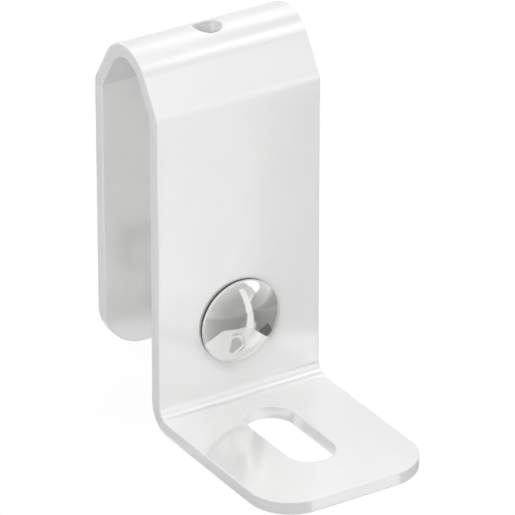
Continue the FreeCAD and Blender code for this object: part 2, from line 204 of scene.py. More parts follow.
class NodeSheet:
    """A node tree that is filled in one node at a time."""

    def __init__(self, tree: bpy.types.NodeTree) -> None:
        """Empties the tree."""
        self.tree = tree
        tree.nodes.clear()

    def node(self, kind: str, settings: dict[str, Any], sockets: dict[Any, Any]) -> bpy.types.Node:
        """Adds a node.

        Args:
            kind: The node's type.
            settings: Properties, set first.
            sockets: Values or links for its inputs, by name or index.

        Returns:
            The new node.
        """
        node = self.tree.nodes.new(kind)
        for name, value in settings.items():
            setattr(node, name, value)
        for key, value in sockets.items():
            if isinstance(key, int):
                target = node.inputs[key]
            else:
                target = next(item for item in node.inputs if item.name == key and item.enabled)
            if isinstance(value, Value):
                value = value.socket
            if isinstance(value, bpy.types.NodeSocket):
                self.tree.links.new(value, target)
            else:
                target.default_value = value
        return node

    def result(self, kind: str, sockets: dict[Any, Any]) -> bpy.types.NodeSocket:
        """First output of a new node whose settings stay at their defaults."""
        return self.node(kind, {}, sockets).outputs[0]

    def show(self, surface: bpy.types.NodeSocket) -> None:
        """Makes a shader the surface of the sheet's material."""
        self.node("ShaderNodeOutputMaterial", {}, {"Surface": surface})

    def mix(
        self, share: Value, first: bpy.types.NodeSocket, second: bpy.types.NodeSocket
    ) -> bpy.types.NodeSocket:
        """Mix of two shaders, by the share of the second one."""
        return self.result("ShaderNodeMixShader", {0: share, 1: first, 2: second})

    def place(self, kind: Coordinates) -> bpy.types.NodeSocket:
        """Coordinates of one kind."""
        return self.node("ShaderNodeTexCoord", {}, {}).outputs[kind.value]

    def axes(self, place: bpy.types.NodeSocket) -> tuple[Value, ...]:
        """X, Y and Z of coordinates."""
        node = self.node("ShaderNodeSeparateXYZ", {}, {"Vector": place})
        return tuple(Value(self, output) for output in node.outputs)

    def noise(self, place: bpy.types.NodeSocket, grain: float, detail: float) -> Value:
        """Cloudy noise.

        Args:
            place: Coordinates.
            grain: Size of the clouds in metres.
            detail: Octaves of finer noise.

        Returns:
            A value about 0.5.
        """
        sockets = {"Vector": place, "Scale": 1 / grain, "Detail": detail}
        return Value(self, self.result("ShaderNodeTexNoise", sockets))

    def blend(self, share: Value, first: Any, second: Any) -> bpy.types.NodeSocket:
        """Mix of two colours.

        Args:
            share: Share of the second colour.
            first: First colour, or a socket that carries one.
            second: Second colour, or a socket that carries one.

        Returns:
            The mixed colour.
        """
        node = self.node(
            "ShaderNodeMix",
            {"data_type": "RGBA", "blend_type": "MIX"},
            {"Factor": share, "A": first, "B": second},
        )
        return next(item for item in node.outputs if item.enabled)

    def bump(self, height: Value, strength: float, depth: float) -> bpy.types.NodeSocket:
        """Bumped normal.

        Args:
            height: Height from 0 to 1.
            strength: Share of the effect.
            depth: Height of 1, in metres.

        Returns:
            The normal.
        """
        return self.result("ShaderNodeBump", {"Height": height, "Strength": strength, "Distance": depth})

    def map_place(self) -> tuple[Value, Value]:
        """Place on the piece's own UV map, across and along."""
        across, along, _ = self.axes(self.place(Coordinates.MAP))
        return across, along

    def on_rays(self, *kinds: Ray) -> Value:
        """One on light paths of the given kinds, else zero.

        Args:
            kinds: Kinds of light path.

        Returns:
            The switch.
        """
        path = self.node("ShaderNodeLightPath", {}, {})
        first, *rest = (Value(self, path.outputs[kind.value]) for kind in kinds)
        for other in rest:
            first = first.higher(other)
        return first


def new_material(name: str) -> tuple[bpy.types.Material, NodeSheet]:
    """Makes a material.

    Args:
        name: Its name.

    Returns:
        The material and its empty node sheet.
    """
    material = bpy.data.materials.new(name)
    material.use_nodes = True
    return material, NodeSheet(material.node_tree)


@dataclass(frozen=True)
class CoatFinish:
    """Gloss white powder coat with a faint orange peel, a little rougher inside the hook.

    The hook's gap is a range of Y. Its top is the range of heights over which the rougher coat ends.
    """

    light: Colour = (0.86, 0.86, 0.855, 1)
    shade: Colour = (0.84, 0.84, 0.835, 1)
    roughness: float = 0.14
    roughness_swing: float = 0.04
    hook_roughness: float = 0.06
    hook_gap: tuple[float, float] = (22.5 * MM, 42.6 * MM)
    hook_top: tuple[float, float] = (62 * MM, 70 * MM)
    ior: float = 3.7
    peel_grain: float = 1.6 * MM
    peel_depth: float = 0.004 * MM
    peel_strength: float = 0.5
    dust_grain: float = 0.4 * MM
    cloud_grain: float = 14 * MM
    cloud_band: tuple[float, float] = (0.35, 0.65)

    def material(self) -> bpy.types.Material:
        """Makes the coat's material.

        Returns:
            The material.
        """
        material, sheet = new_material("gloss_white_coat")
        place = sheet.place(Coordinates.PIECE)
        cloud = sheet.noise(place, self.cloud_grain, detail=3)
        peel = sheet.noise(place, self.peel_grain, detail=2)
        dust = sheet.noise(place, self.dust_grain, detail=2)
        _, along, height = sheet.axes(place)
        in_hook = along.band(*self.hook_gap) * (1 - height.step(*self.hook_top))
        swing = self.roughness_swing * (dust - NOISE_MEAN)
        sockets = {
            "Base Color": sheet.blend(cloud.step(*self.cloud_band), self.light, self.shade),
            "Roughness": self.roughness + swing + self.hook_roughness * in_hook,
            "IOR": self.ior,
            "Normal": sheet.bump(peel, self.peel_strength, self.peel_depth),
        }
        sheet.show(sheet.result("ShaderNodeBsdfPrincipled", sockets))
        return material


@dataclass(frozen=True)
class ZincFinish:
    """Bright zinc plate, with painted shade in the thread's roots and a painted contact shadow where a piece
    bears on the strip.
    """

    light: Colour = (0.87, 0.88, 0.845, 1)
    shade: Colour = (0.82, 0.83, 0.79, 1)
    # Dark grey of the painted shade in the thread's roots.
    root: Colour = (0.30, 0.30, 0.28, 1)
    # Near-black colour of the painted contact shadow under the head's rim, along the neck and at the nut's
    # seat.
    contact_shade: Colour = (0.10, 0.10, 0.095, 1)
    contact_shade_edge: float = 0.2 * MM
    roughness: float = 0.07
    roughness_swing: float = 0.05
    cloud_grain: float = 5 * MM
    cloud_band: tuple[float, float] = (0.3, 0.7)
    fine_grain: float = 0.5 * MM
    fine_depth: float = 0.002 * MM
    fine_strength: float = 0.15

    def material(
        self,
        name: str,
        axis_height: float,
        root_shade_radii: tuple[float, float],
        thread: tuple[float, float],
        contact_shade: tuple[float, float],
    ) -> bpy.types.Material:
        """Makes the material of a turned piece on the bolt's axis.

        Args:
            name: The material's name.
            axis_height: Height of the axis.
            root_shade_radii: Radii at which the painted shade in the thread's roots is darkest and gone
                again.
            thread: Y at which the thread starts and ends.
            contact_shade: Y at which the painted contact shadow starts and ends.

        Returns:
            The material.
        """
        material, sheet = new_material(name)
        place = sheet.place(Coordinates.PIECE)
        side, along, height = sheet.axes(place)
        rise = height - axis_height
        radius = (side * side + rise * rise) ** 0.5
        # Painted shade: the thread darkens towards its roots.
        in_root_shade = along.band(*thread) * (1 - radius.step(*root_shade_radii))
        # Painted contact shadow: a band along the axis, darkened to near black.
        in_contact_shade = along.band(*contact_shade, self.contact_shade_edge)
        cloud = sheet.noise(place, self.cloud_grain, detail=4)
        fine = sheet.noise(place, self.fine_grain, detail=3)
        plate = sheet.blend(cloud.step(*self.cloud_band), self.light, self.shade)
        shaded_plate = sheet.blend(in_root_shade, plate, self.root)
        sockets = {
            "Base Color": sheet.blend(in_contact_shade, shaded_plate, self.contact_shade),
            "Metallic": 1.0,
            "Roughness": self.roughness + self.roughness_swing * (fine + cloud - 2 * NOISE_MEAN),
            "Normal": sheet.bump(fine, self.fine_strength, self.fine_depth),
        }
        sheet.show(sheet.result("ShaderNodeBsdfPrincipled", sockets))
        return material


def new_verts(result: dict[str, Any], key: str = "geom") -> list[BMVert]:
    """Vertices among the geometry that an operator returns."""
    return [item for item in result[key] if isinstance(item, BMVert)]


def new_edges(result: dict[str, Any], key: str = "geom") -> list[BMEdge]:
    """Edges among the geometry that an operator returns."""
    return [item for item in result[key] if isinstance(item, BMEdge)]


def grow(bm: BMesh, edges: Iterable[BMEdge], place: Callable[[Vector], Vector]) -> list[BMEdge]:
    """Extrudes a chain of edges and puts each new vertex in its place.

    Args:
        bm: The mesh.
        edges: The chain.
        place: New place of a vertex, from its old one.

    Returns:
        The new chain, without the edges that lead to it.
    """
    result = bmesh.ops.extrude_edge_only(bm, edges=list(edges))
    fresh = set(new_verts(result))
    for vert in fresh:
        vert.co = place(vert.co)
    return [edge for edge in new_edges(result) if set(edge.verts) <= fresh]


def boundary(edges: Iterable[BMEdge]) -> list[BMEdge]:
    """Edges that have a face on one side only."""
    return [edge for edge in edges if edge.is_valid and edge.is_boundary]


def middle_of(edge: BMEdge) -> Vector:
    """Middle point of an edge."""
    return (edge.verts[0].co + edge.verts[1].co) / 2


def rim_at(bm: BMesh, y: float) -> list[BMEdge]:
    """Open edges in a plane across the bolt."""
    return [edge for edge in boundary(bm.edges) if abs(middle_of(edge).y - y) < NEAR]


def soften(bm: BMesh, edges: list[BMEdge], radius: float, steps: int) -> None:
    """Rounds edges.

    Args:
        bm: The mesh.
        edges: The edges.
        radius: Distance that the round takes from each face.
        steps: Facets across the round.
    """
    bmesh.ops.bevel(
        bm,
        geom=edges,
        offset=radius,
        offset_type="OFFSET",
        affect="EDGES",
        segments=steps,
        profile=0.5,
        material=-1,
        clamp_overlap=False,
    )


@dataclass(frozen=True)
class RoundedOutline:
    """An outline with round corners: all places at one distance from a box of half sizes about an axis."""

    centre: Vector
    axis: Vector
    half_across: float
    half_along: float
    radius: float

    @property
    def along(self) -> Vector:
        """Direction of the second half size."""
        return self.axis.cross(ACROSS)

    def snap(self, point: Vector) -> Vector:
        """Place on the outline for a point outside it.

        Args:
            point: A point outside the outline.

        Returns:
            The place, at the same height along the axis.
        """
        offset = point - self.centre
        u = offset.dot(ACROSS)
        v = offset.dot(self.along)
        core_u = max(-self.half_across, min(self.half_across, u))
        core_v = max(-self.half_along, min(self.half_along, v))
        out = Vector((u - core_u, v - core_v)).normalized() * self.radius
        height = self.axis * offset.dot(self.axis)
        return self.centre + ACROSS * (core_u + out.x) + self.along * (core_v + out.y) + height


def add_object(name: str, data: bpy.types.ID) -> bpy.types.Object:
    """Adds an object to the scene.

    Args:
        name: Its name.
        data: Its mesh, lamp or camera.

    Returns:
        The object, at the origin.
    """
    item = bpy.data.objects.new(name, data)
    bpy.context.scene.collection.objects.link(item)
    return item


def add_mesh(name: str, bm: BMesh, material: bpy.types.Material) -> bpy.types.Object:
    """Adds an object with a mesh of one material to the scene.

    Args:
        name: Its name.
        bm: Its mesh, which is used up.
        material: Its material.

    Returns:
        The object.
    """
    mesh = bpy.data.meshes.new(name)
    bm.to_mesh(mesh)
    bm.free()
    mesh.materials.append(material)
    return add_object(name, mesh)


@dataclass
class Piece:
    """A piece that stands for one node of the frame; its crease is a sharp edge's least angle, in degrees."""

    name: str
    node: str
    slot: Slot
    crease: float = 28

    def publish(self, bm: BMesh, material: bpy.types.Material) -> bpy.types.Object:
        """Turns a mesh into a finished piece on the frame.

        Args:
            bm: The mesh, in the row's frame.
            material: Its material.

        Returns:
            The object.
        """
        bmesh.ops.remove_doubles(bm, verts=bm.verts, dist=MERGE)
        bmesh.ops.recalc_face_normals(bm, faces=bm.faces)
        piece = add_mesh(self.name, bm, material)
        piece.data.shade_smooth()
        piece.data.set_sharp_from_angle(angle=math.radians(self.crease))
        weighted = piece.modifiers.new("flat_faces", "WEIGHTED_NORMAL")
        weighted.keep_sharp = True
        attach(piece, BODY)
        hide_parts(self.node)
        return piece


@dataclass
class FoldedStrip(Piece):
    """Flat strip folded into a foot, a wall, a gabled crest and a leg; angles are in degrees."""

    crease: float = 50
    width: float = 40 * MM
    thickness: float = 3 * MM
    edge_round: float = 0.3 * MM
    foot_reach: float = 46 * MM
    foot_corner: float = 10 * MM
    foot_bend: float = 3 * MM
    slot_offset: float = 20 * MM
    slot_half_run: float = 7.5 * MM
    slot_radius: float = 5.5 * MM
    height: float = 85 * MM
    hook_depth: float = 25 * MM
    gable_angle: float = 32
    gable_bend: float = 0.5 * MM
    crest_radius: float = 9 * MM
    crest_hole: float = 3 * MM
    leg_end: float = 9 * MM
    leg_corner: float = 10 * MM
    bolt_height: float = 21 * MM
    neck_half: float = 3.9 * MM
    neck_corner: float = 0.5 * MM
    leg_hole: float = 4.5 * MM
    window: float = 8 * MM
    slot_window: float = 14.5 * MM
    long_side: float = 4 * MM
    crest_window: float = 44
    crest_rings: int = 6
    bend_steps: int = 24
    crest_steps: int = 58
    corner_steps: int = 24
    round_steps: int = 3
    window_cuts: int = 31

    @property
    def tip(self) -> float:
        """Y of the foot's tip."""
        return self.slot_offset - self.foot_reach

    @property
    def back(self) -> float:
        """Y of the leg's outer face."""
        return self.slot_offset + self.hook_depth

    @property
    def crest(self) -> Vector:
        """Centre of the crest's bend."""
        return Vector((0, (self.slot_offset + self.back) / 2, self.height - self.crest_radius))

    def build(self, coat: CoatFinish) -> bpy.types.Object:
        """Folds, widens, pierces and softens the strip.

        Args:
            coat: Its finish.

        Returns:
            The object.
        """
        bm = bmesh.new()
        self.fold(bm)
        self.widen(bm)
        for side in (-self.window, self.window):
            geom = [*bm.verts, *bm.edges, *bm.faces]
            bmesh.ops.bisect_plane(bm, geom=geom, dist=MERGE, plane_co=ACROSS * side, plane_no=ACROSS)
        wall = Vector((0, self.slot_offset, self.bolt_height))
        leg = Vector((0, self.back, self.bolt_height))
        slot_hole = RoundedOutline(Vector(), UPWARD, 0, self.slot_half_run, self.slot_radius)
        neck_hole = RoundedOutline(wall, ALONG_BOLT, self.neck_half, self.neck_half, self.neck_corner)
        leg_hole = RoundedOutline(leg, ALONG_BOLT, 0, 0, self.leg_hole)
        self.pierce(bm, slot_hole, self.slot_window)
        self.pierce(bm, neck_hole, self.window)
        self.pierce(bm, leg_hole, self.window)
        self.pierce_crest(bm)
        bmesh.ops.recalc_face_normals(bm, faces=bm.faces)
        sharp = [edge for edge in bm.edges if edge.calc_face_angle(0) > math.radians(self.crease)]
        soften(bm, sharp, self.edge_round, self.round_steps)
        return self.publish(bm, coat.material())

    def fold(self, bm: BMesh) -> None:
        """Draws the strip's section as it is folded: straight runs and bends in turn.

        Args:
            bm: Empty mesh that gets the section's faces.
        """
        lean = math.radians(self.gable_angle)
        rise = Vector((0, math.sin(lean), math.cos(lean)))
        fall = Vector((0, rise.y, -rise.z))
        outward = Vector((0, -rise.z, rise.y))
        fold_out = self.gable_bend + self.thickness
        touch = self.crest + outward * self.crest_radius
        fold_height = touch.z - (touch.y - self.slot_offset) / math.tan(lean)
        gable_height = fold_height - fold_out * math.tan(lean / 2)
        bend_out = self.foot_bend + self.thickness
        foot_bend = Vector((0, self.slot_offset - self.foot_bend, bend_out))
        front_fold = Vector((0, self.slot_offset + fold_out, gable_height))
        back_fold = Vector((0, self.back - fold_out, gable_height))
        slope = (self.crest - front_fold).dot(rise)
        low = bm.verts.new((-self.width / 2, self.tip, 0))
        high = bm.verts.new((-self.width / 2, self.tip, self.thickness))
        edge = bm.edges.new((low, high))
        edge = self.run(bm, edge, ALONG_BOLT * (foot_bend.y - self.tip))
        edge = self.bend(bm, edge, foot_bend, 90, self.bend_steps)
        edge = self.run(bm, edge, UPWARD * (gable_height - bend_out))
        edge = self.bend(bm, edge, front_fold, -self.gable_angle, self.bend_steps)
        edge = self.run(bm, edge, rise * slope)
        edge = self.bend(bm, edge, self.crest, 2 * self.gable_angle - 180, self.crest_steps)
        edge = self.run(bm, edge, fall * slope)
        edge = self.bend(bm, edge, back_fold, -self.gable_angle, self.bend_steps)
        self.run(bm, edge, UPWARD * (self.leg_end - gable_height))

    @staticmethod
    def run(bm: BMesh, edge: BMEdge, move: Vector) -> BMEdge:
        """Straight run of the section; returns its far edge."""
        return grow(bm, [edge], lambda place: place + move)[0]

    @staticmethod
    def bend(bm: BMesh, edge: BMEdge, centre: Vector, degrees: float, steps: int) -> BMEdge:
        """Bend of the section.

        Args:
            bm: The mesh.
            edge: Edge through the strip where the bend starts.
            centre: A point on the bend's axis.
            degrees: Angle of the bend, positive from +Y to +Z.
            steps: Facets of the bend.

        Returns:
            Its far edge.
        """
        result = bmesh.ops.spin(
            bm, geom=[edge, *edge.verts], cent=centre, axis=ACROSS, angle=math.radians(degrees), steps=steps
        )
        return new_edges(result, "geom_last")[0]

    def widen(self, bm: BMesh) -> None:
        """Gives the section the strip's width and rounds the corners of its two ends.

        Args:
            bm: The mesh of the section.
        """
        result = bmesh.ops.extrude_face_region(bm, geom=bm.faces[:])
        bmesh.ops.translate(bm, vec=ACROSS * self.width, verts=new_verts(result))
        bmesh.ops.recalc_face_normals(bm, faces=bm.faces)
        foot = []
        leg = []
        for edge in bm.edges:
            middle = middle_of(edge)
            run = (edge.verts[1].co - edge.verts[0].co).normalized()
            if abs(run.z) > PARALLEL and abs(middle.y - self.tip) < NEAR:
                foot.append(edge)
            if abs(run.y) > PARALLEL and abs(middle.z - self.leg_end) < NEAR:
                leg.append(edge)
        soften(bm, foot, self.foot_corner, self.corner_steps)
        soften(bm, leg, self.leg_corner, self.corner_steps)

    def faces_in_window(self, bm: BMesh, test: Callable[[Vector, Vector], bool]) -> list[BMFace]:
        """Faces between the lines beside the holes whose centre and normal pass a test."""
        inside = [face for face in bm.faces if abs(face.calc_center_median().x) < self.window]
        return [face for face in inside if test(face.calc_center_median(), face.normal)]

    def open_skins(
        self, bm: BMesh, faces: list[BMFace], depth: Callable[[Vector], float]
    ) -> list[list[BMEdge]]:
        """Removes a window of faces from both skins of the strip.

        Args:
            bm: The mesh, closed but for this window.
            faces: Faces of the window on both skins.
            depth: Depth of a point in the strip, negative on one skin and positive on the other.

        Returns:
            The window's outline on each skin, its long sides divided.
        """
        bmesh.ops.delete(bm, geom=faces, context="FACES")
        long_sides = [edge for edge in boundary(bm.edges) if edge.calc_length() > self.long_side]
        bmesh.ops.bisect_edges(bm, edges=long_sides, cuts=self.window_cuts)
        rims = boundary(bm.edges)
        lower = [edge for edge in rims if depth(middle_of(edge)) < 0]
        upper = [edge for edge in rims if depth(middle_of(edge)) > 0]
        return [lower, upper]

    def pierce(self, bm: BMesh, hole: RoundedOutline, reach: float) -> None:
        """Cuts a hole through a flat run.

        Args:
            bm: The mesh.
            hole: The hole's outline, centred on one of the run's skins.
            reach: Half length of the window that is opened for it.
        """

        def offset(centre: Vector) -> float:
            """Distance from the skin that the hole's centre lies on."""
            return (centre - hole.centre).dot(hole.axis)

        def on_run(centre: Vector, normal: Vector) -> bool:
            """Flat faces of this run, on either skin."""
            return abs(offset(centre)) < self.thickness + NEAR and abs(normal.dot(hole.axis)) > PARALLEL

        def in_reach(centre: Vector, normal: Vector) -> bool:
            """Faces of the run inside the window."""
            return on_run(centre, normal) and abs((centre - hole.centre).dot(hole.along)) < reach

        for side in (-reach, reach):
            run = self.faces_in_window(bm, on_run)
            points = dict.fromkeys(vert for face in run for vert in face.verts)
            edges = dict.fromkeys(edge for face in run for edge in face.edges)
            geom = [*points, *edges, *run]
            line = hole.centre + hole.along * side
            bmesh.ops.bisect_plane(bm, geom=geom, dist=MERGE, plane_co=line, plane_no=hole.along)
        faces = self.faces_in_window(bm, in_reach)
        offsets = [offset(face.calc_center_median()) for face in faces]
        middle = (min(offsets) + max(offsets)) / 2
        outlines = self.open_skins(bm, faces, lambda point: offset(point) - middle)
        rims = [grow(bm, outline, hole.snap) for outline in outlines]
        bmesh.ops.bridge_loops(bm, edges=rims[0] + rims[1])

    def pierce_crest(self, bm: BMesh) -> None:
        """Drills the crest straight down, with the skin round the hole kept on the bend.

        Args:
            bm: The mesh.
        """
        crest = self.crest
        hole = RoundedOutline(crest, UPWARD, 0, 0, self.crest_hole)
        limit = math.radians(self.crest_window)
        middle = self.crest_radius - self.thickness / 2

        def near_top(centre: Vector, normal: Vector) -> bool:
            """Faces of the crest's two skins about its top."""
            turn = math.atan2(centre.y - crest.y, centre.z - crest.z)
            return centre.z > crest.z and abs(turn) < limit and abs(normal.x) < NEAR

        def inward(radius: float, share: float, place: Vector) -> Vector:
            """Moves a place on one of the bend's skins nearer to the hole.

            Args:
                radius: Radius of the skin.
                share: Share of the way to the hole's edge.
                place: The place.

            Returns:
                The new place, on the same skin.
            """
            near = place.lerp(hole.snap(place), share)
            near.z = crest.z + math.sqrt(radius**2 - (near.y - crest.y) ** 2)
            return near

        def depth(point: Vector) -> float:
            """Distance from the middle of the strip, along the bend's radius."""
            return math.hypot(point.y - crest.y, point.z - crest.z) - middle

        chains = self.open_skins(bm, self.faces_in_window(bm, near_top), depth)
        for number, radius in enumerate((self.crest_radius - self.thickness, self.crest_radius)):
            for left in range(self.crest_rings, 0, -1):
                chains[number] = grow(bm, chains[number], partial(inward, radius, 1 / left))
        bmesh.ops.bridge_loops(bm, edges=chains[0] + chains[1])


@dataclass(frozen=True)
class ScrewThread:
    """Metric coarse thread about the bolt's axis."""

    axis_height: float
    phase: float
    pitch: float = 1.25 * MM
    crest: float = 4 * MM
    root: float = 3.233 * MM
    crest_flat: float = 0.16 * MM
    root_flat: float = 0.2 * MM
    clearance: float = 0
    steps: int = 64

    def radius_at(self, vert: BMVert) -> float:
        """Distance of a vertex from the axis."""
        return math.hypot(vert.co.x, vert.co.z - self.axis_height)

    def sweep(
        self, bm: BMesh, start: float, finish: float, limit: Callable[[float, float], float]
    ) -> tuple[list[BMEdge], list[BMEdge]]:
        """Sweeps the thread's profile along its helix, between two planes across the axis.

        Args:
            bm: Empty mesh that gets the thread.
            start: Y of the first plane.
            finish: Y of the second plane.
            limit: Radius of a place, from its Y and the thread's own radius there.

        Returns:
            The edges of the thread in the first plane and in the second.
        """
        flank = (self.pitch - self.crest_flat - self.root_flat) / 2
        runs = (0, self.crest_flat, self.crest_flat + flank, self.pitch - flank, self.pitch)
        radii = (self.crest, self.crest, self.root, self.root, self.crest)
        turns_before = math.floor((start - self.phase) / self.pitch) - 1
        origin = self.phase + turns_before * self.pitch
        turns = math.ceil((finish - origin) / self.pitch) + 1
        profile = []
        for run, radius in zip(runs, radii):
            height = self.axis_height + radius + self.clearance
            profile.append(bm.verts.new((0, origin + run, height)))
        edges = [bm.edges.new(pair) for pair in pairwise(profile)]
        bmesh.ops.spin(
            bm,
            geom=[*profile, *edges],
            cent=UPWARD * self.axis_height,
            axis=ALONG_BOLT,
            dvec=ALONG_BOLT * (self.pitch / self.steps),
            angle=2 * math.pi * turns,
            steps=self.steps * turns,
        )
        bmesh.ops.remove_doubles(bm, verts=bm.verts, dist=NEAR)
        for plane, outward in ((start, -ALONG_BOLT), (finish, ALONG_BOLT)):
            geom = [*bm.verts, *bm.edges, *bm.faces]
            bmesh.ops.bisect_plane(
                bm, geom=geom, dist=MERGE, plane_co=ALONG_BOLT * plane, plane_no=outward, clear_outer=True
            )
        for vert in bm.verts:
            radius = self.radius_at(vert)
            share = limit(vert.co.y, radius) / radius
            vert.co.x *= share
            vert.co.z = self.axis_height + (vert.co.z - self.axis_height) * share
        return rim_at(bm, start), rim_at(bm, finish)


@dataclass
class CarriageBolt(Piece):
    """Bolt with a mushroom head, a square neck and a rolled thread."""

    axis_height: float = 21 * MM
    seat: float = 20 * MM
    head_radius: float = 9.65 * MM
    head_height: float = 4.5 * MM
    head_rim: float = 0.8 * MM
    head_side: float = 0.45 * MM
    neck_half: float = 3.3 * MM
    neck_corner: float = 0.8 * MM
    neck_length: float = 4.5 * MM
    neck_taper: float = 0.5 * MM
    shank: float = 4 * MM
    thread_start: float = 33 * MM
    runout: float = 2 * MM
    length: float = 35 * MM
    tip_chamfer: float = 0.8 * MM
    dome_rings: int = 40
    rim_rings: int = 12
    turns: int = 128

    @property
    def tip(self) -> float:
        """Y of the bolt's end."""
        return self.seat + self.length

    @property
    def thread(self) -> ScrewThread:
        """The bolt's thread."""
        return ScrewThread(self.axis_height, self.thread_start)

    def build(self, zinc: ZincFinish) -> bpy.types.Object:
        """Turns the head, squares the neck and joins the threaded shank to it.

        Args:
            zinc: Its finish.

        Returns:
            The object.
        """
        bm = bmesh.new()
        first, last = self.thread.sweep(bm, self.thread_start, self.tip, self.limit)
        bmesh.ops.edgeloop_fill(bm, edges=last)
        chain = self.turn_head(bm)
        centre = Vector((0, self.seat, self.axis_height))
        square = RoundedOutline(centre, ALONG_BOLT, self.neck_half, self.neck_half, self.neck_corner)
        circle = RoundedOutline(centre, ALONG_BOLT, 0, 0, self.shank)
        straight = ALONG_BOLT * (self.neck_length - self.neck_taper)
        taper = ALONG_BOLT * self.neck_taper
        plain = ALONG_BOLT * (self.thread_start - self.runout - self.seat - self.neck_length)
        chain = grow(bm, chain, square.snap)
        chain = grow(bm, chain, lambda place: place + straight)
        chain = grow(bm, chain, lambda place: circle.snap(place) + taper)
        chain = grow(bm, chain, lambda place: place + plain)
        bmesh.ops.bridge_loops(bm, edges=chain + first)
        # Radii over which the painted shade in the thread's roots fades out.
        roots = (self.thread.root, self.shank)
        threaded = (self.thread_start, self.tip)
        # The painted contact shadow covers the side of the head's rim and the neck.
        contact_shade = (self.seat - self.head_side, self.seat + self.neck_length)
        return self.publish(bm, zinc.material("zinc_bolt", self.axis_height, roots, threaded, contact_shade))

    def limit(self, y: float, radius: float) -> float:
        """Radius of the thread, run out at the plain shank and chamfered at the tip.

        Args:
            y: Place along the bolt.
            radius: The thread's own radius there.

        Returns:
            The radius.
        """
        faded = self.shank - (y - self.thread_start) / self.runout * (self.shank - self.thread.root)
        chamfered = self.shank - self.tip_chamfer + (self.tip - y)
        return min(max(radius, faded), chamfered)

    def turn_head(self, bm: BMesh) -> list[BMEdge]:
        """Turns the mushroom head about the bolt's axis.

        Args:
            bm: The mesh.

        Returns:
            The edges round the head's seat.
        """
        before = set(bm.edges)
        flat = self.head_radius - self.head_rim
        drop = self.head_height - self.head_side
        dome = (flat**2 + drop**2 - self.head_rim**2) / (2 * (drop - self.head_rim))
        crown = self.seat - self.head_height
        dome_centre = Vector((0, crown + dome, self.axis_height))
        rim_centre = Vector((0, self.seat - self.head_side, self.axis_height + flat))
        spread = math.atan2(flat, dome_centre.y - rim_centre.y)
        vert = bm.verts.new((0, crown, self.axis_height))
        arcs = ((dome_centre, spread, self.dome_rings), (rim_centre, math.pi / 2 - spread, self.rim_rings))
        for centre, angle, steps in arcs:
            result = bmesh.ops.spin(bm, geom=[vert], cent=centre, axis=ACROSS, angle=-angle, steps=steps)
            vert = new_verts(result, "geom_last")[0]
        foot = new_verts(bmesh.ops.extrude_vert_indiv(bm, verts=[vert]), "verts")[0]
        foot.co.y = self.seat
        profile = [edge for edge in bm.edges if edge not in before]
        points = dict.fromkeys(vert for edge in profile for vert in edge.verts)
        bmesh.ops.spin(
            bm,
            geom=[*points, *profile],
            cent=UPWARD * self.axis_height,
            axis=ALONG_BOLT,
            angle=2 * math.pi,
            steps=self.turns,
            use_merge=True,
        )
        bmesh.ops.remove_doubles(bm, verts=bm.verts, dist=MERGE)
        return rim_at(bm, self.seat)


